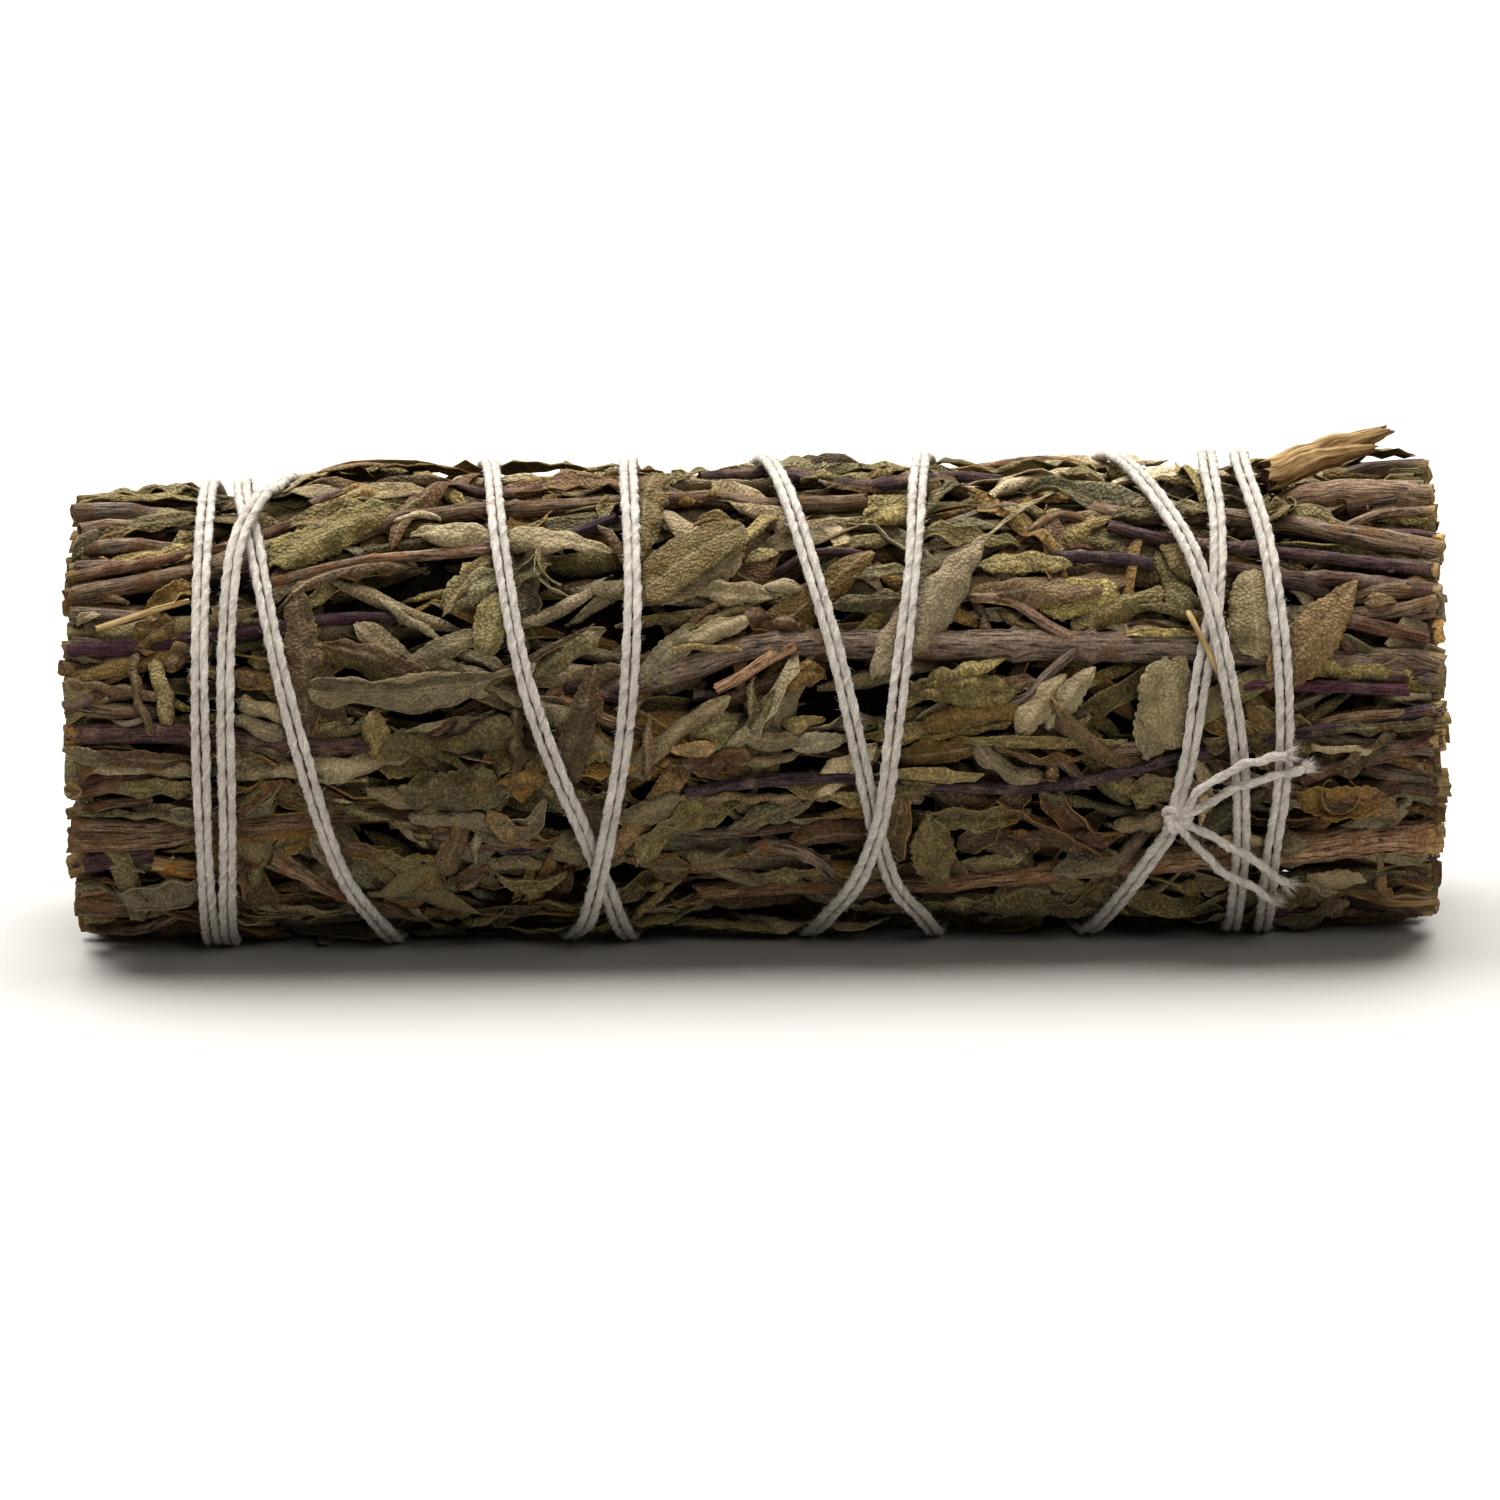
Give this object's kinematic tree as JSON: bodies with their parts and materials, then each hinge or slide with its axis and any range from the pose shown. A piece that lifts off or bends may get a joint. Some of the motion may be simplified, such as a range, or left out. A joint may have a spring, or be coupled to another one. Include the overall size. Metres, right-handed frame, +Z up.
{
  "type": "dried sage bunch",
  "caption": "Round bundle of dried sage stems and leaves, cut square at both ends and bound along its length with doubled cotton twine, lying on its side.",
  "frame": {"origin": "under the middle of the bundle, on the surface that it lies on", "axes": "+X along the bundle towards the end near the knot, +Z up, and -Y is the side with the knot"},
  "size_m": [0.0992, 0.0372, 0.036],
  "materials": {
    "sage_leaf": "dry, matt, felted",
    "sage_leaf_pale": "pale felted underside",
    "sage_leaf_tan": "dry, tan to rust",
    "bark": "dry ridged bark",
    "purple_stem": "young purple stem with fine fuzz",
    "split_wood": "split and cut wood",
    "straw": "smooth pale straw",
    "cotton_twine": "soft two-ply cotton"
  },
  "bodies": {
    "root": {"stem_thick_middle": "bark", "stem_brown_upper": "bark", "stem_red_left": "purple_stem", "stem_thin_left": "bark", "stem_purple_top_left": "purple_stem", "stem_hooked": "purple_stem", "stem_purple_top": "purple_stem", "stem_arched_top": "bark", "stem_brown_right": "bark", "stem_purple_right": "purple_stem", "stem_red_right": "purple_stem", "stem_thick_right": "bark", "stem_purple_short": "purple_stem", "stem_bark_top": "bark", "stem_magenta_left": "purple_stem", "stem_purple_left": "purple_stem", "stem_red_stub": "purple_stem", "stem_left_lower": "bark", "twig_left_lower": "split_wood", "twig_ringed_left": "bark", "twig_ringed_middle": "bark", "stem_long_bottom": "bark", "stem_purple_lower": "purple_stem", "stem_magenta_right": "purple_stem", "stem_red_lower": "bark", "stem_thin_bottom": "purple_stem", "stub_right_lower": "split_wood", "straw_left": "straw", "stem_back_1": "bark", "stem_back_2": "bark", "stem_back_3": "purple_stem", "stem_back_4": "bark", "stem_back_5": "purple_stem", "stem_back_6": "bark", "stem_back_7": "purple_stem", "twig_split": "split_wood", "stem_inner_1": "bark", "stem_inner_2": "bark", "stem_inner_3": "bark", "stem_inner_4": "bark", "stem_inner_5": "bark", "leaf_bed_1": "sage_leaf", "leaf_bed_2": "sage_leaf", "leaf_bed_3": "sage_leaf", "leaf_bed_4": "sage_leaf", "leaf_bed_5": "sage_leaf", "leaf_bed_6": "sage_leaf", "leaf_over_thick_stem": "sage_leaf_pale", "leaf_long_upper_left": "sage_leaf", "leaf_grey_middle_left": "sage_leaf_pale", "leaf_round_right": "sage_leaf", "leaf_pointed_tan": "sage_leaf_tan", "leaf_upright_middle": "sage_leaf_pale", "leaf_broad_middle": "sage_leaf_pale", "leaf_oval_right": "sage_leaf_pale", "twine_strand_a": "cotton_twine", "twine_strand_b": "cotton_twine", "twine_knot": "cotton_twine"}
  },
  "joints": []
}
